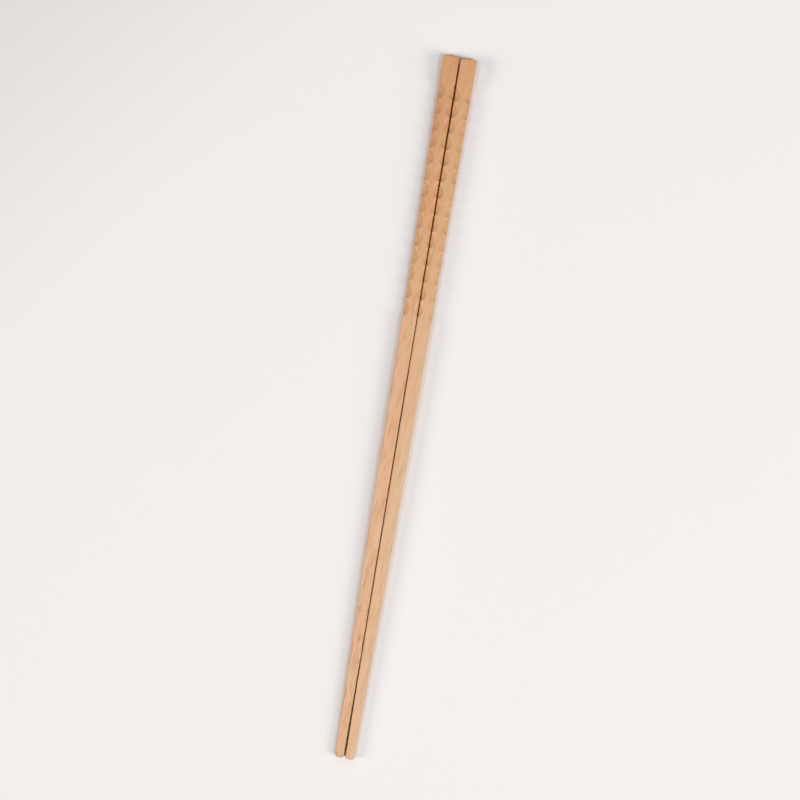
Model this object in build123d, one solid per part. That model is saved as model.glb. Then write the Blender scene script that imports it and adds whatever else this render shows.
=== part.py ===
from build123d import *

# A pair of long wooden cooking chopsticks, lying side by side on a table.
# Each stick is one piece of wood: a square blank with a straight taper that runs out in a
# long curve to a slim tip, with broken edges, crowned ends, and a row of scoops carved into
# each of the four long edges of the grip.
# All sizes are in millimetres. +Z is up, +Y points to the butts, and the origin is on the
# table, under the middle of the pair.

import os
from math import atan, cos, degrees, radians, sqrt

# One stick
length = 330.0
butt_width = 7.7
knee_width = 6.22
tip_width = 3.95
knee_from_butt = 190.0
edge_break = 0.45
butt_crown = 1.7
tip_crown = 0.65
saw_spare = 0.5

# The carved grip
scoop_count = 14
scoop_pitch = 7.83
cutter_radius = 5.0
first_scoop_reach = 2.5
last_scoop_reach = 1.95
first_scoop_from_butt = 16.8

# How the pair lies
gap_at_butt = 0.6
gap_at_knee = 0.2
stagger = 0.3

# Half of the taper as a slope and as an angle, and the angle between the inner faces and the
# middle of the pair, both in degrees
half_taper = (butt_width - knee_width) / 2 / knee_from_butt
taper_angle = degrees(atan(half_taper))
toe_angle = degrees(atan((gap_at_butt - gap_at_knee) / 2 / knee_from_butt))


def half_width(from_butt):
    """Half the side of the square section, on the straight taper."""
    return butt_width / 2 - from_butt * half_taper


def tapered_slab():
    """The stick's outline, straight to the knee and curved to the tip, as a thick slab.

    Each end has some length to spare, which is sanded off when the end is crowned."""
    butt_corner = (half_width(-saw_spare), saw_spare)
    knee = (knee_width / 2, -knee_from_butt)
    tip_corner = (tip_width / 2, -length)
    mid_run_out = (knee_from_butt + length) / 2
    sawn_tip = -length - saw_spare
    taper = Line(butt_corner, knee)
    run_out = Bezier(knee, (half_width(mid_run_out), -mid_run_out), tip_corner)
    ends = Polyline(tip_corner, (tip_width / 2, sawn_tip), (0, sawn_tip)) + Line((0, saw_spare), butt_corner)
    half = taper + run_out + ends
    outline = make_face(half + mirror(half, about=Plane.YZ))
    return extrude(outline, amount=butt_width, both=True)


def end_waste(width, crown):
    """What sanding takes off a square end at the origin, facing +Y, to leave it crowned."""
    half_diagonal = width / sqrt(2)
    radius = (half_diagonal**2 + crown**2) / (2 * crown)
    block = Box(2 * width, 2 * (crown + saw_spare), 2 * width)
    return block - Pos(0, -radius, 0) * Sphere(radius)


def blank():
    """The stick before carving: square, tapered, with crowned ends and broken edges."""
    slab = tapered_slab()
    squared = slab & Rot(0, 90, 0) * slab
    tip_waste = Pos(0, -length, 0) * Rot(0, 0, 180) * end_waste(tip_width, tip_crown)
    crowned = squared - end_waste(butt_width, butt_crown) - tip_waste
    long_edges = crowned.edges().filter_by(lambda edge: edge.length > 2 * butt_width)
    rims = crowned.faces().filter_by(GeomType.SPHERE).edges()
    return chamfer(long_edges + rims, edge_break)


def scoop_cutters():
    """The balls that carve the scoops into the long edges of the grip, less deep one after another."""
    ball = Rot(90, 0, 0) * Sphere(cutter_radius)
    cutters = []
    for n in range(scoop_count):
        from_butt = first_scoop_from_butt + n * scoop_pitch
        reach = first_scoop_reach + (last_scoop_reach - first_scoop_reach) * n / (scoop_count - 1)
        stand_off = (sqrt(2 * cutter_radius**2 - reach**2) - reach) / 2
        off_axis = sqrt(2) * (half_width(from_butt) + stand_off)
        for corner in (45, 135, 225, 315):
            cutters.append(Rot(0, corner, 0) * Pos(off_axis, -from_butt, 0) * ball)
    return cutters


def laid(stick, side):
    """The stick at rest on its lower face, right of the pair's middle (side 1) or left of it (-1)."""
    lift = butt_width / 2 * cos(radians(taper_angle))
    rested = Pos(0, 0, lift) * Rot(taper_angle, 0, 0) * stick
    turned = Rot(0, 0, -side * (taper_angle + toe_angle)) * rested
    return Pos(side * (gap_at_butt + butt_width) / 2, (length - side * stagger) / 2, 0) * turned


chopstick = blank() - scoop_cutters()

os.makedirs("parts", exist_ok=True)
export_step(laid(chopstick, -1), "parts/chopstick_left.step")
export_step(laid(chopstick, 1), "parts/chopstick_right.step")
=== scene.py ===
from collections import namedtuple
from math import atan, cos, pi, radians, sin, tan, tau

import bpy
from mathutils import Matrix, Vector


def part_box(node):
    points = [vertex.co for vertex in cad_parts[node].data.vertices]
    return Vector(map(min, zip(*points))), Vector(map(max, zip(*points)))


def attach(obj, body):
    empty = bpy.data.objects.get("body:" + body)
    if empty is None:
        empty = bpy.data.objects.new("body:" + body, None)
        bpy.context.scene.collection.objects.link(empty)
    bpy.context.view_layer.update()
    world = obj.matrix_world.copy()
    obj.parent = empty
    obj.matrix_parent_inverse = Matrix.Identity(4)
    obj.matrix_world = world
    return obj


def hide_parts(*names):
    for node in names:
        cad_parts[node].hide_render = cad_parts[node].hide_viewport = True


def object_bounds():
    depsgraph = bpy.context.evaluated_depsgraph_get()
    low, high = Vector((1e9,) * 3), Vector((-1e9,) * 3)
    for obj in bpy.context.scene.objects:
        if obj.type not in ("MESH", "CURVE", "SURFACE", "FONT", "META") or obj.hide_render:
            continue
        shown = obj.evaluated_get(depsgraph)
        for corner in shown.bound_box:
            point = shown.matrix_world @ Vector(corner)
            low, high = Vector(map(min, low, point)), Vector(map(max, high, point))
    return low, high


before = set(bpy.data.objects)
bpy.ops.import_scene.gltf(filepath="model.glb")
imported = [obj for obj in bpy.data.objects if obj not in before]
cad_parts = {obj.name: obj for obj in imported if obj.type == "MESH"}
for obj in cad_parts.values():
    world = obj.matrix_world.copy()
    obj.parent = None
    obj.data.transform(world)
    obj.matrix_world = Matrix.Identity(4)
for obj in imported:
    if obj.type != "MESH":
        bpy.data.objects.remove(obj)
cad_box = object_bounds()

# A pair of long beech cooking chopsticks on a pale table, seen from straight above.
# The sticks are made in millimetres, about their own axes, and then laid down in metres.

MM = 0.001

# One stick, in millimetres; its skin lies just inside the solid that it replaces
BUTT_WIDTH = 7.7
KNEE_WIDTH = 6.22
TIP_WIDTH = 3.95
KNEE_FROM_BUTT = 190.0
EDGE_RADIUS = 0.55
BUTT_CROWN = 1.7
TIP_CROWN = 0.65
SKIN = 0.012

# The slight bow of each stick, in millimetres: from its start on it leaves the other stick and then nears it.
# The fuller the bow, the longer it stays out
BOW = 0.105
BOW_START = 140.0
BOW_SPAN = 119.0
BOW_FULLNESS = 1.8

# The carved grip, in millimetres: the cutter, its reach into the faces, how far the first scoop is from the
# butt, the soft rims, and how far the carver's hand strays in place and in depth
SCOOP_COUNT = 14
SCOOP_PITCH = 7.83
CUTTER_RADIUS = 5.0
FIRST_REACH = 2.5
LAST_REACH = 1.95
FIRST_SCOOP = 16.8
RIM_SOFTNESS = 1.2
ROW_WANDER = 0.7
SCOOP_DRIFT = 0.5
DEPTH_DRIFT = 0.5

# How many scoops the row's wander takes to come round, and how much steeper a scoop is on its tip side
WANDER_SPAN = 16.0
SCOOP_SKEW = 0.22

# Where the grip's wood changes its tint: how wide a ridge's painted highlight is and how deep a hollow must
# be for its painted light to be full, in millimetres, and how much a hollow on an outer edge counts beside
# one on an inner edge
RIDGE_WIDTH = 1.6
HOLLOW_DEPTH = 0.4
OUTER_HOLLOW = 0.3

# How the pair lies, in millimetres
GAP_AT_BUTT = 0.6
GAP_AT_KNEE = 0.2

# Half the taper, and the turn of the inner faces from the middle of the pair, in radians
TAPER = atan((BUTT_WIDTH - KNEE_WIDTH) / 2 / KNEE_FROM_BUTT)
TOE = atan((GAP_AT_BUTT - GAP_AT_KNEE) / 2 / KNEE_FROM_BUTT)

# The rings of points along one stick, from the middle of the butt to the middle of the tip, the points in
# each ring, and how far the grip's rings go past its end scoops, in scoop pitches
RING_SPANS = {
    "butt_end": 14,
    "butt_rim": 8,
    "butt": 30,
    "grip": 500,
    "shaft": 90,
    "tip_rim": 8,
    "tip_end": 10,
}
POINTS_AROUND = 144
GRIP_MARGIN = 0.6

# Points closer than this are one, in millimetres, which closes the stick's seam and ends, and a length that
# keeps a division from zero
SEAM = 0.0005
TINY = 0.000001

# How far the wood's grain runs off the sticks' axes, in radians
GRAIN_SLANT = radians(5)

# A marking of the wood: its size across and along the grain, in millimetres, how fine it is, the noise level
# where it starts and the rise until it is full, and the tint that it gives the wood
Marking = namedtuple("Marking", "across along detail level rise tint")
PINK_PATCH = Marking(
    across=3.5, along=22.0, detail=2.0, level=0.44, rise=0.2, tint=(1.0, 0.89, 0.87, 1.0)
)
YELLOW_PATCH = Marking(
    across=3.0, along=16.0, detail=2.0, level=0.48, rise=0.2, tint=(0.93, 0.96, 0.86, 1.0)
)
STREAK = Marking(
    across=0.6, along=11.0, detail=3.0, level=0.5286, rise=0.1429, tint=(0.78, 0.63, 0.53, 1.0)
)
DASH = Marking(
    across=0.8, along=6.0, detail=1.0, level=0.6, rise=0.1111, tint=(0.80, 0.61, 0.50, 1.0)
)

# How far the yellow patches and the dashes are shifted from the other markings, in millimetres
MARKING_SHIFT = (50.0, 70.0, 20.0)

# The dark flecks: the cells that hold them, in millimetres, how much of its cell a fleck fills, and the
# chance from which a cell has one and the rise until it is full
FLECK_CELL = (0.8, 4.0, 0.8)
FLECK_REACH = 0.385
FLECK_LEVEL = 0.775
FLECK_RISE = 0.25

# The tints of the flecks, of the highlight painted on the ridges, of the grip, of the light painted into the
# hollows and of the sawn ends
FLECK = (0.62, 0.48, 0.38, 1.0)
RIDGE_PAINTED_HIGHLIGHT = (1.08, 1.09, 1.12, 1.0)
GRIP_TINT = (1.0, 0.966, 0.89, 1.0)
HOLLOW_PAINTED_LIGHT = (1.05, 1.095, 1.16, 1.0)
END_GRAIN = (0.88, 0.82, 0.76, 1.0)

# Along the stick, as shares of its length from the tip: where the grip starts and how softly, and where the
# dashes are, how far they spread and how softly they end
GRIP_START = 0.64
GRIP_FADE = 0.04
DASH_PLACE = 0.2
DASH_SPREAD = 0.18
DASH_FADE = 0.12

# How strong the streaks are at either end, and the power by which the butt's colour comes in along the stick;
# the tip's paler, less saturated colour is a painted sheen
STREAKS_AT_TIP = 1.15
STREAKS_AT_BUTT = 0.4
BUTT_COLOUR_POWER = 3

# The wood's finish: its refractive index, its roughness and the streaks' part in it, and the grain's depth in
# millimetres, its strength and the flecks' part in it
WOOD_IOR = 1.5
WOOD_ROUGHNESS = 0.42
STREAK_ROUGHNESS = 0.12
GRAIN_DEPTH = 0.08
GRAIN_STRENGTH = 0.25
FLECK_DEPTH = 0.6

# The two sticks. A side of 1 is right of the pair's middle and -1 left of it. The lean draws the cutter back
# on a stick's right side and drives it deeper on its left side. The lean and the grain's shift are in
# millimetres, and the figure and the dashing are how strong a stick's own markings are
STICKS = (
    {
        "name": "left_chopstick",
        "node": "chopstick_left",
        "side": -1,
        "seed": 3.0,
        "lean": 0.35,
        "grain_shift": (0.0, -14.0, 0.0),
        "figure": 1.0,
        "dashing": 1.0,
        "butt_colour": (0.645, 0.345, 0.174, 1.0),
        "tip_colour": (0.74, 0.451, 0.25, 1.0),
    },
    {
        "name": "right_chopstick",
        "node": "chopstick_right",
        "side": 1,
        "seed": 8.0,
        "lean": -0.25,
        "grain_shift": (31.0, 17.0, 9.0),
        "figure": 0.6,
        "dashing": 0.25,
        "butt_colour": (0.664, 0.368, 0.192, 1.0),
        "tip_colour": (0.724, 0.462, 0.257, 1.0),
    },
)

# The table: half its side in metres, its darker and its lighter tone, how many clouds of them to a metre and
# how fine these are, and its roughness
TABLE_HALF = 3.0
TABLE_TONES = ((0.857, 0.852, 0.841, 1.0), (0.877, 0.872, 0.861, 1.0))
TABLE_CLOUDS = 4.0
TABLE_CLOUD_DETAIL = 1.0
TABLE_ROUGHNESS = 0.75

# The photograph's dim corner, painted on the table as shade: the way to it over the table, where it starts
# and how far the change goes, in metres, and its tint
DIM_CORNER = (-0.81, 0.58, 0.0)
DIM_START = 0.13
DIM_SPAN = 0.17
CORNER_PAINTED_SHADE = (0.85, 0.85, 0.855, 1.0)

# Beyond the lamps' reach: where the table starts to glow, in metres, and the colour of its far parts and of
# the backdrop
GLOW_START = 0.8
BACKDROP = (0.80, 0.79, 0.78, 1.0)

# The light that falls on the table, in watts a square metre, the part of it from all round, and the lamps'
# tints
TABLE_LIGHT = 3.25
WORLD_SHARE = 0.05
WARM = (1.18, 1.0, 0.84)
COOL = (0.885, 1.0, 1.14)

# The middles of the pair's ends in the photograph, in pixels of its square frame, the camera's height in
# metres and its sensor's width in millimetres
PHOTO_SIDE = 800
BUTT_PIXEL = (460.5, 56.6)
TIP_PIXEL = (344.2, 758.4)
CAMERA_HEIGHT = 0.9
SENSOR_WIDTH = 36.0

BLACK = (0.0, 0.0, 0.0, 1.0)
WHITE = (1.0, 1.0, 1.0, 1.0)


class Wire:
    """A socket that carries a number, with arithmetic that adds Math nodes."""

    def __init__(self, net, socket):
        self.net = net
        self.socket = socket

    def math(self, operation, *others):
        operands = dict(enumerate((self, *others)))
        return self.net.add("ShaderNodeMath", {"operation": operation}, operands)

    def math_after(self, operation, first):
        return self.net.add("ShaderNodeMath", {"operation": operation}, {0: first, 1: self})

    def __add__(self, other):
        return self.math("ADD", other)

    def __radd__(self, other):
        return self.math_after("ADD", other)

    def __sub__(self, other):
        return self.math("SUBTRACT", other)

    def __rsub__(self, other):
        return self.math_after("SUBTRACT", other)

    def __mul__(self, other):
        return self.math("MULTIPLY", other)

    def __rmul__(self, other):
        return self.math_after("MULTIPLY", other)

    def __truediv__(self, other):
        return self.math("DIVIDE", other)

    def __rtruediv__(self, other):
        return self.math_after("DIVIDE", other)

    def __pow__(self, power):
        return self.math("POWER", power)

    def __rpow__(self, base):
        return self.math_after("POWER", base)

    def __abs__(self):
        return self.math("ABSOLUTE")

    def at_least(self, low):
        return self.math("MAXIMUM", low)

    def at_most(self, high):
        return self.math("MINIMUM", high)

    def between(self, low, high):
        return self.at_least(low).at_most(high)

    def above(self, level, rise):
        """0 up to a level, and 1 from a rise above it."""
        return ((self - level) / rise).between(0, 1)

    def eased(self):
        """A slow start and a slow end between 0 and 1."""
        part = self.between(0, 1)
        return part * part * (3 - 2 * part)


class Net:
    """A node tree, with one way to add its nodes."""

    def __init__(self, tree):
        self.tree = tree

    def add(self, kind, settings=None, sockets=None, output=0):
        """Adds a node, sets its settings and then its sockets, and gives one of its outputs."""
        node = self.tree.nodes.new(kind)
        for name, value in (settings or {}).items():
            setattr(node, name, value)
        for name, value in (sockets or {}).items():
            socket = self.find(node.inputs, name)
            if isinstance(value, Wire):
                self.tree.links.new(value.socket, socket)
            else:
                socket.default_value = value
        if node.outputs:
            return Wire(self, self.find(node.outputs, output))

    def find(self, sockets, name):
        """A socket by its place or its name."""
        if isinstance(name, int):
            return sockets[name]
        return next(socket for socket in sockets if socket.enabled and socket.name == name)

    def also(self, wire, output):
        """Another output of the node that a wire comes from."""
        return Wire(self, self.find(wire.socket.node.outputs, output))


# The sticks' shape


def stick_sizes(stick):
    """The inputs of a stick's tree, by name."""
    side = stick["side"]
    tip, butt = (corner.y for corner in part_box(stick["node"]))
    return {
        "Length": (butt - tip) / MM,
        "Butt Width": BUTT_WIDTH,
        "Knee Width": KNEE_WIDTH,
        "Tip Width": TIP_WIDTH,
        "Knee From Butt": KNEE_FROM_BUTT,
        "Edge Radius": EDGE_RADIUS,
        "Butt Crown": BUTT_CROWN,
        "Tip Crown": TIP_CROWN,
        "Skin": SKIN,
        "Bow": side * BOW,
        "Bow Start": BOW_START,
        "Bow Span": BOW_SPAN,
        "Bow Fullness": BOW_FULLNESS,
        "Scoop Count": float(SCOOP_COUNT),
        "Scoop Pitch": SCOOP_PITCH,
        "Cutter Radius": CUTTER_RADIUS,
        "First Reach": FIRST_REACH,
        "Last Reach": LAST_REACH,
        "First Scoop": FIRST_SCOOP,
        "Rim Softness": RIM_SOFTNESS,
        "Row Wander": ROW_WANDER,
        "Wander Span": WANDER_SPAN,
        "Scoop Drift": SCOOP_DRIFT,
        "Depth Drift": DEPTH_DRIFT,
        "Scoop Skew": SCOOP_SKEW,
        "Depth Lean": stick["lean"],
        "Ridge Width": RIDGE_WIDTH,
        "Hollow Depth": HOLLOW_DEPTH,
        "Outer Hollow": OUTER_HOLLOW,
        "Inner Side": -float(side),
        "Seed": stick["seed"],
        "Place": (side * (GAP_AT_BUTT + BUTT_WIDTH) / 2 * MM, butt, BUTT_WIDTH / 2 * cos(TAPER) * MM),
        "Turn": (TAPER, 0.0, -side * (TAPER + TOE)),
    }


def chopstick_tree(sizes, material):
    """The Geometry Nodes tree of one stick, and its inputs by name."""
    tree = bpy.data.node_groups.new("chopstick", "GeometryNodeTree")
    tree.interface.new_socket("Stick", in_out="OUTPUT", socket_type="NodeSocketGeometry")
    inputs = {}
    for name, value in sizes.items():
        kind = "NodeSocketVector" if isinstance(value, tuple) else "NodeSocketFloat"
        inputs[name] = tree.interface.new_socket(name, in_out="INPUT", socket_type=kind)
    net = Net(tree)
    first = net.add("NodeGroupInput")
    size = {name: net.also(first, name) for name in inputs}

    rings = sum(RING_SPANS.values()) + 1
    marked = net.add(
        "GeometryNodeMeshGrid",
        sockets={"Size X": 1.0, "Size Y": 1.0, "Vertices X": rings, "Vertices Y": POINTS_AROUND + 1},
        output="Mesh",
    )
    place, marks = stick_surface(net, size)
    for name, value in marks.items():
        marked = net.add(
            "GeometryNodeStoreNamedAttribute",
            {"data_type": "FLOAT", "domain": "POINT"},
            {"Geometry": marked, "Name": name, "Value": value},
        )
    shaped = net.add("GeometryNodeSetPosition", sockets={"Geometry": marked, "Position": place})
    closed = net.add("GeometryNodeMergeByDistance", sockets={"Geometry": shaped, "Distance": SEAM})
    smooth = net.add("GeometryNodeSetShadeSmooth", sockets={"Geometry": closed, "Shade Smooth": True})
    laid = net.add(
        "GeometryNodeTransform",
        sockets={
            "Geometry": smooth,
            "Translation": size["Place"],
            "Rotation": size["Turn"],
            "Scale": (MM, MM, MM),
        },
    )
    realized = net.add("GeometryNodeRealizeInstances", sockets={"Geometry": laid})
    finished = net.add("GeometryNodeSetMaterial", sockets={"Geometry": realized, "Material": material})
    net.add("NodeGroupOutput", sockets={"Stick": finished})
    return tree, inputs


def stick_surface(net, size):
    """Where the grid's points go on the stick, x and z across it and y towards the butt, and its marks."""
    grid_place = net.add("GeometryNodeInputPosition")
    grid_x = net.add("ShaderNodeSeparateXYZ", sockets={"Vector": grid_place}, output="X")
    grid_y = net.also(grid_x, "Y")
    ring = (grid_x + 0.5) * sum(RING_SPANS.values())
    corner_turn = (0.5 - grid_y) * 4

    way = {}
    start = 0
    for span, count in RING_SPANS.items():
        way[span] = ((ring - start) / count).between(0, 1)
        start += count

    edge = size["Edge Radius"]
    butt_rim = way["butt_rim"] * (pi / 2)
    tip_rim = way["tip_rim"] * (pi / 2)
    grip_start = size["First Scoop"] - size["Scoop Pitch"] * GRIP_MARGIN
    grip_end = size["First Scoop"] + size["Scoop Pitch"] * (size["Scoop Count"] - (1 - GRIP_MARGIN))
    from_butt = (
        edge * (1 - butt_rim.math("COSINE"))
        + (grip_start - edge) * way["butt"]
        + (grip_end - grip_start) * way["grip"]
        + (size["Length"] - edge - grip_end) * way["shaft"]
        + edge * tip_rim.math("SINE")
    )
    inset = (
        (size["Butt Width"] / 2 - edge) * (1 - way["butt_end"])
        + edge * (1 - butt_rim.math("SINE"))
        + edge * (1 - tip_rim.math("COSINE"))
        + (size["Tip Width"] / 2 - edge) * way["tip_end"]
    )

    slope = (size["Butt Width"] - size["Knee Width"]) / 2 / size["Knee From Butt"]
    run_out = size["Length"] - size["Knee From Butt"]
    bend = (size["Butt Width"] / 2 - size["Length"] * slope - size["Tip Width"] / 2) / (run_out * run_out)
    past_knee = (from_butt - size["Knee From Butt"]).at_least(0)
    half = size["Butt Width"] / 2 - size["Skin"] - from_butt * slope - bend * past_knee * past_knee
    x, z = rounded_square(corner_turn, (half - inset).at_least(0), edge)

    x, z, ridge, hollow = scooped(net, size, x, z, from_butt, slope)
    off_axis = x * x + z * z
    butt_drop = crown_drop(off_axis, size["Butt Width"], size["Butt Crown"])
    tip_drop = crown_drop(off_axis, size["Tip Width"], size["Tip Crown"])
    butt_fade = (1 - from_butt / size["Butt Width"]).eased()
    tip_fade = (1 - (size["Length"] - from_butt) / size["Tip Width"]).eased()
    y = (from_butt + butt_drop * butt_fade - tip_drop * tip_fade) * -1
    bow_turn = (from_butt - size["Bow Start"]).at_least(0) * pi / size["Bow Span"]
    x = x + size["Bow"] * (bow_turn.math("SINE") * size["Bow Fullness"]).math("TANH")
    place = net.add("ShaderNodeCombineXYZ", sockets={"X": x, "Y": y, "Z": z})
    # The ridge and hollow marks place a painted highlight and painted light on the wood
    end_grain = (1 - way["butt_rim"] + way["tip_rim"]).between(0, 1)
    return place, {"ridge": ridge, "hollow": hollow, "end_grain": end_grain}


def rounded_square(corner_turn, half, edge):
    """The point at a turn from 0 to 4 on a square of that half width, its corners rounded."""
    radius = edge.at_most(half)
    flat = half - radius
    sides = []
    for quarter in (0, 3):
        turned = (corner_turn + quarter).math("MODULO", 4)
        sides.append((abs(turned - 2) * 2 - 2).between(-1, 1) * half)
    inner = [side.at_least(flat * -1).at_most(flat) for side in sides]
    beyond = [side - core for side, core in zip(sides, inner)]
    reach = (beyond[0] * beyond[0] + beyond[1] * beyond[1]).math("SQRT").at_least(TINY)
    return [core + out * radius / reach for core, out in zip(inner, beyond)]


def scooped(net, size, x, z, from_butt, slope):
    """The section's point after ball cutters have passed over its corner, and how far it is on a ridge and in
    a hollow:
    where a highlight and light are painted on the wood."""
    x_side = x.math("SIGN")
    z_side = z.math("SIGN")
    last = size["Scoop Count"] - 1
    count_from_first = (from_butt - size["First Scoop"]) / size["Scoop Pitch"]
    before = count_from_first.math("FLOOR").between(0, last)
    edge_key = x_side + 3 * z_side

    root_half = 0.5**0.5
    outward = (abs(x) + abs(z)) * root_half
    sideways = (abs(x) - abs(z)) * root_half
    ball = size["Cutter Radius"] * size["Cutter Radius"]
    cuts = []
    for scoop in (before, (before + 1).at_most(last)):
        cut_key = net.add("ShaderNodeCombineXYZ", sockets={"X": scoop, "Y": edge_key, "Z": size["Seed"]})
        chance = net.add("ShaderNodeTexWhiteNoise", {"noise_dimensions": "3D"}, {"Vector": cut_key}, "Color")
        place_chance = net.add("ShaderNodeSeparateXYZ", sockets={"Vector": chance}, output="X")
        depth_chance = net.also(place_chance, "Y")
        drift = (place_chance - 0.5) * size["Scoop Drift"]
        wander = size["Row Wander"] * (scoop * tau / size["Wander Span"]).math("COSINE")
        middle = size["First Scoop"] + scoop * size["Scoop Pitch"] + wander + drift
        reach = size["First Reach"] + (size["Last Reach"] - size["First Reach"]) * scoop / last
        stand_off = ((2 * ball - reach * reach).math("SQRT") - reach) / 2
        corner = size["Butt Width"] / 2 - middle * slope
        centre = (corner + stand_off) * (2 * root_half)
        rise = (depth_chance - 0.5) * size["Depth Drift"] + x_side * size["Depth Lean"]
        along = from_butt - middle - size["Scoop Skew"] * size["Scoop Pitch"] / 2
        along = along / (1 - size["Scoop Skew"] * along.math("SIGN"))
        bulge = (ball - sideways * sideways - along * along).at_least(0).math("SQRT")
        cuts.append(centre + rise - bulge)
    cut = cuts[0].at_most(cuts[1])
    new_outward = outward.math("SMOOTH_MIN", cut, size["Rim Softness"])
    step = (outward - new_outward).at_least(0) * root_half

    # The ridge mark is where a highlight is painted on the wood
    between_cuts = (1 - abs(cuts[0] - cuts[1]) / size["Ridge Width"]).eased()
    by_cut = (1 - (cut - outward) / size["Ridge Width"]).eased()
    before_last = (last - count_from_first).math("SIGN").at_least(0)
    ridge = between_cuts * by_cut * before_last
    # The hollow mark is where light is painted into the scoops: full on the inner edges, which the other
    # stick shades, and less on the outer edges
    inner = (x_side * size["Inner Side"] + 1) / 2
    hollow = (step / size["Hollow Depth"]).eased() * (size["Outer Hollow"] * (1 - inner) + inner)
    return x - x_side * step, z - z_side * step, ridge, hollow


def crown_drop(off_axis_squared, width, crown):
    """How far a crowned end falls away at a squared distance from the axis."""
    radius = (width * width / 2 + crown * crown) / (crown * 2)
    return radius - (radius * radius - off_axis_squared).at_least(0).math("SQRT")


def chopstick(stick, material):
    """One stick as a plain mesh."""
    sizes = stick_sizes(stick)
    tree, inputs = chopstick_tree(sizes, material)
    piece = bpy.data.objects.new(stick["name"], bpy.data.meshes.new(stick["name"]))
    bpy.context.scene.collection.objects.link(piece)
    shape = piece.modifiers.new("shape", "NODES")
    shape.node_group = tree
    for name, value in sizes.items():
        shape[inputs[name].identifier] = value
    graph = bpy.context.evaluated_depsgraph_get()
    mesh = bpy.data.meshes.new_from_object(
        piece.evaluated_get(graph), preserve_all_data_layers=True, depsgraph=graph
    )
    piece.modifiers.clear()
    piece.data = mesh
    return piece


# The wood


def new_material(name):
    """An empty node material, and the net for its nodes."""
    material = bpy.data.materials.new(name)
    material.use_nodes = True
    material.node_tree.nodes.clear()
    return material, Net(material.node_tree)


def blend(net, amount, first, second, way="MIX"):
    """Two colours mixed by an amount, in the Mix node's given way."""
    return net.add(
        "ShaderNodeMix",
        {"data_type": "RGBA", "blend_type": way},
        {"Factor": amount, "A": first, "B": second},
        "Result",
    )


def tinted(net, colour, amount, tint):
    """A colour tinted with another, by an amount from 0 to about 1."""
    return blend(net, amount, colour, tint, "MULTIPLY")


def fibre_noise(net, place, marking):
    """Noise in the size of a marking, drawn out along the grain."""
    fibre = (marking.across, marking.along, marking.across)
    fibres = net.add("ShaderNodeVectorMath", {"operation": "DIVIDE"}, {0: place, 1: fibre})
    return net.add(
        "ShaderNodeTexNoise", sockets={"Vector": fibres, "Scale": 1.0, "Detail": marking.detail}
    )


def marked_places(net, place, marking):
    """Where a marking shows, from 0 to 1."""
    return fibre_noise(net, place, marking).above(marking.level, marking.rise)


def fleck_places(net, place):
    """Where the short dark flecks show, from 0 to 1."""
    cells = net.add("ShaderNodeVectorMath", {"operation": "DIVIDE"}, {0: place, 1: FLECK_CELL})
    from_middle = net.add(
        "ShaderNodeTexVoronoi", sockets={"Vector": cells, "Scale": 1.0}, output="Distance"
    )
    chance = net.add(
        "ShaderNodeSeparateColor", sockets={"Color": net.also(from_middle, "Color")}, output="Red"
    )
    return (1 - from_middle / FLECK_REACH).eased() * chance.above(FLECK_LEVEL, FLECK_RISE)


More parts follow.
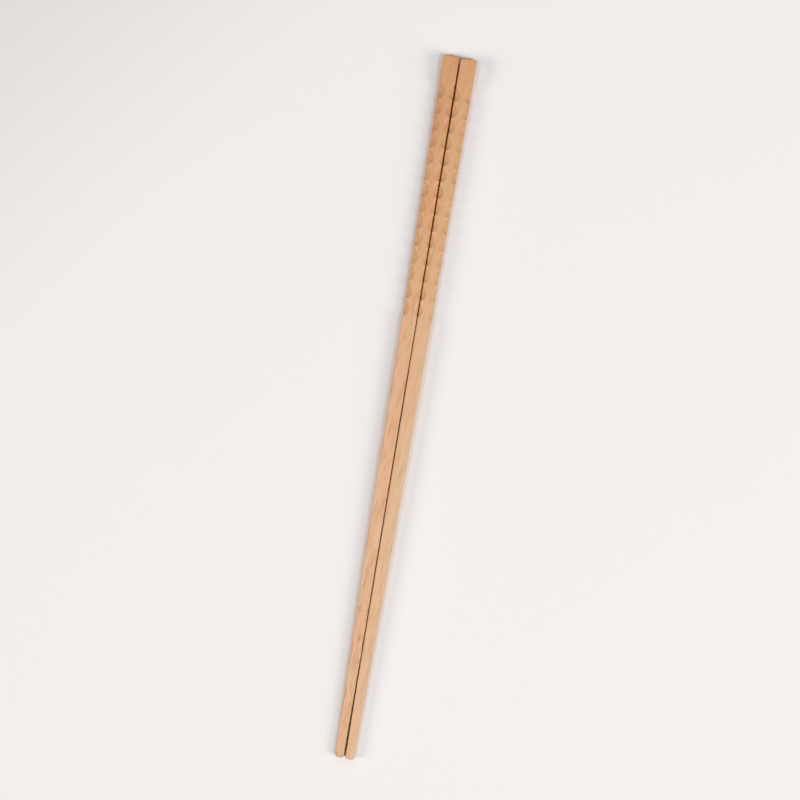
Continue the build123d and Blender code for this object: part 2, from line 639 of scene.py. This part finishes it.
def beech(stick):
    """Oiled beech with soft slanting patches, streaks, dashes and short flecks, and a painted sheen that
    pales it towards the tip.
    """
    material, net = new_material(stick["name"] + "_beech")
    object_place = net.add("ShaderNodeTexCoord", output="Object")
    place = net.add(
        "ShaderNodeMapping",
        sockets={
            "Vector": object_place,
            "Location": stick["grain_shift"],
            "Rotation": (0.0, 0.0, GRAIN_SLANT),
            "Scale": (1 / MM, 1 / MM, 1 / MM),
        },
    )
    shifted = net.add("ShaderNodeVectorMath", {"operation": "ADD"}, {0: place, 1: MARKING_SHIFT})
    tip, butt = (corner.y for corner in cad_box)
    along = net.add("ShaderNodeSeparateXYZ", sockets={"Vector": object_place}, output="Y")
    to_butt = ((along - tip) / (butt - tip)).between(0, 1)

    # The paler, less saturated colour towards the tip is a painted sheen
    wood = blend(net, to_butt**BUTT_COLOUR_POWER, stick["tip_colour"], stick["butt_colour"])
    # The grip's wood is tinted warmer, a little less green and blue
    in_grip = ((to_butt - GRIP_START) / GRIP_FADE + 0.5).eased()
    wood = tinted(net, wood, in_grip, GRIP_TINT)
    pink = marked_places(net, place, PINK_PATCH) * stick["figure"]
    wood = tinted(net, wood, pink, PINK_PATCH.tint)
    yellow = marked_places(net, shifted, YELLOW_PATCH)
    wood = tinted(net, wood, yellow, YELLOW_PATCH.tint)
    streaks = fibre_noise(net, place, STREAK)
    streak_strength = (STREAKS_AT_TIP + (STREAKS_AT_BUTT - STREAKS_AT_TIP) * to_butt) * stick["figure"]
    wood = tinted(net, wood, streaks.above(STREAK.level, STREAK.rise) * streak_strength, STREAK.tint)
    dashed = ((DASH_SPREAD - abs(to_butt - DASH_PLACE)) / DASH_FADE).eased() * stick["dashing"]
    wood = tinted(net, wood, marked_places(net, shifted, DASH) * dashed, DASH.tint)
    flecks = fleck_places(net, place)
    wood = tinted(net, wood, flecks, FLECK)
    # The sawn ends are darker; the ridges carry a painted highlight, and the hollows painted light, strongest
    # in the inner scoops that the other stick shades
    for mark, tint in (("end_grain", END_GRAIN), ("ridge", RIDGE_PAINTED_HIGHLIGHT), ("hollow", HOLLOW_PAINTED_LIGHT)):
        amount = net.add("ShaderNodeAttribute", {"attribute_name": mark}, output="Fac")
        wood = tinted(net, wood, amount, tint)

    grain = net.add(
        "ShaderNodeBump",
        sockets={
            "Strength": GRAIN_STRENGTH,
            "Distance": GRAIN_DEPTH * MM,
            "Height": streaks - flecks * FLECK_DEPTH,
        },
    )
    surface = net.add(
        "ShaderNodeBsdfPrincipled",
        sockets={
            "Base Color": wood,
            "Roughness": WOOD_ROUGHNESS + STREAK_ROUGHNESS * (streaks - 0.5),
            "IOR": WOOD_IOR,
            "Normal": grain,
        },
    )
    net.add("ShaderNodeOutputMaterial", sockets={"Surface": surface})
    return material


# The studio


def table_material():
    """Smooth off-white board, very slightly uneven in tone, with shade painted on towards one corner.

    Far outside the photograph's frame it glows, so that it stays pale where no lamp reaches."""
    material, net = new_material("pale_table")
    place = net.add("ShaderNodeTexCoord", output="Object")
    cloud = net.add(
        "ShaderNodeTexNoise",
        sockets={"Vector": place, "Scale": TABLE_CLOUDS, "Detail": TABLE_CLOUD_DETAIL},
    )
    board = blend(net, cloud, *TABLE_TONES)
    to_corner = net.add(
        "ShaderNodeVectorMath", {"operation": "DOT_PRODUCT"}, {0: place, 1: DIM_CORNER}, "Value"
    )
    # Shade painted on the board towards one corner
    board = tinted(net, board, ((to_corner - DIM_START) / DIM_SPAN).eased(), CORNER_PAINTED_SHADE)
    away = net.add("ShaderNodeVectorMath", {"operation": "LENGTH"}, {0: place}, "Value")
    far = ((away - GLOW_START) / (TABLE_HALF - GLOW_START)).eased()
    surface = net.add(
        "ShaderNodeBsdfPrincipled",
        sockets={
            "Base Color": board,
            "Roughness": TABLE_ROUGHNESS,
            "Emission Color": blend(net, far, BLACK, BACKDROP),
            "Emission Strength": 1.0,
        },
    )
    net.add("ShaderNodeOutputMaterial", sockets={"Surface": surface})
    return material


def table():
    half = TABLE_HALF
    corners = [(-half, -half, 0), (half, -half, 0), (half, half, 0), (-half, half, 0)]
    mesh = bpy.data.meshes.new("table")
    mesh.from_pydata(corners, [], [(0, 1, 2, 3)])
    mesh.materials.append(table_material())
    board = bpy.data.objects.new("table", mesh)
    bpy.context.scene.collection.objects.link(board)


def softbox(name, tilt, bearing, spread, distance, share, colour):
    """A square soft lamp aimed at the middle of the pair.

    Its tilt is from straight above, its bearing from the right towards the butts and its spread
    to either side, all in degrees; its share is of the light on the table."""
    tilt, bearing, spread = radians(tilt), radians(bearing), radians(spread)
    data = bpy.data.lights.new(name, "AREA")
    data.size = 2 * distance * tan(spread)
    data.energy = share * TABLE_LIGHT * pi * distance**2 / cos(tilt)
    data.color = colour
    lamp = bpy.data.objects.new(name, data)
    flat = distance * sin(tilt)
    lamp.location = (flat * cos(bearing), flat * sin(bearing), distance * cos(tilt))
    lamp.rotation_euler = (-lamp.location).to_track_quat("-Z", "Y").to_euler()
    lamp.visible_camera = False
    bpy.context.scene.collection.objects.link(lamp)


def lamps():
    softbox("right_light", tilt=44, bearing=-11, spread=13, distance=2.4, share=0.23, colour=WARM)
    softbox("low_right_light", tilt=65, bearing=-11, spread=10, distance=2.4, share=0.05, colour=WARM)
    softbox("left_light", tilt=54, bearing=199, spread=12, distance=2.5, share=0.20, colour=WARM)
    softbox("butt_right_light", tilt=45, bearing=62, spread=10, distance=1.8, share=0.06, colour=COOL)
    softbox("butt_left_light", tilt=45, bearing=118, spread=10, distance=2.2, share=0.05, colour=COOL)
    softbox("tip_right_light", tilt=17.5, bearing=325, spread=5, distance=2.3, share=0.20, colour=COOL)
    softbox("tip_left_light", tilt=17.5, bearing=215, spread=5, distance=2.3, share=0.16, colour=COOL)


def surroundings():
    """A little light from all round, with a pale backdrop to be seen behind the table."""
    world = bpy.data.worlds.new("studio")
    world.use_nodes = True
    world.node_tree.nodes.clear()
    net = Net(world.node_tree)
    fill_strength = WORLD_SHARE * TABLE_LIGHT / pi
    fill = net.add("ShaderNodeBackground", sockets={"Color": WHITE, "Strength": fill_strength})
    backdrop = net.add("ShaderNodeBackground", sockets={"Color": BACKDROP, "Strength": 1.0})
    seen = net.add("ShaderNodeLightPath", output="Is Camera Ray")
    both = net.add("ShaderNodeMixShader", sockets={0: seen, 1: fill, 2: backdrop})
    net.add("ShaderNodeOutputWorld", sockets={"Surface": both})
    bpy.context.scene.world = world


def camera():
    """Straight above the table, turned and placed so that the pair's ends meet their pixels."""
    low, high = cad_box
    length = high.y - low.y
    butt_depth = CAMERA_HEIGHT - BUTT_WIDTH / 2 * MM
    tip_depth = butt_depth + length * tan(TAPER)
    butt_view, tip_view = (
        Vector((x - PHOTO_SIDE / 2, PHOTO_SIDE / 2 - y)) for x, y in (BUTT_PIXEL, TIP_PIXEL)
    )
    spread = butt_view * butt_depth - tip_view * tip_depth
    focal = spread.length / length
    roll = atan(spread.x / spread.y)
    sight = butt_view * butt_depth / focal
    eye_x = sight.y * sin(roll) - sight.x * cos(roll)
    eye_y = high.y - sight.x * sin(roll) - sight.y * cos(roll)
    data = bpy.data.cameras.new("camera")
    data.sensor_width = SENSOR_WIDTH
    data.lens = SENSOR_WIDTH * focal / PHOTO_SIDE
    data.dof.use_dof = False
    eye = bpy.data.objects.new("camera", data)
    eye.location = (eye_x, eye_y, CAMERA_HEIGHT)
    eye.rotation_euler = (0, 0, roll)
    bpy.context.scene.collection.objects.link(eye)
    bpy.context.scene.camera = eye


for stick in STICKS:
    piece = chopstick(stick, beech(stick))
    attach(piece, "root")
    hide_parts(stick["node"])

table()
lamps()
surroundings()
camera()
bpy.context.scene.view_settings.view_transform = "Standard"
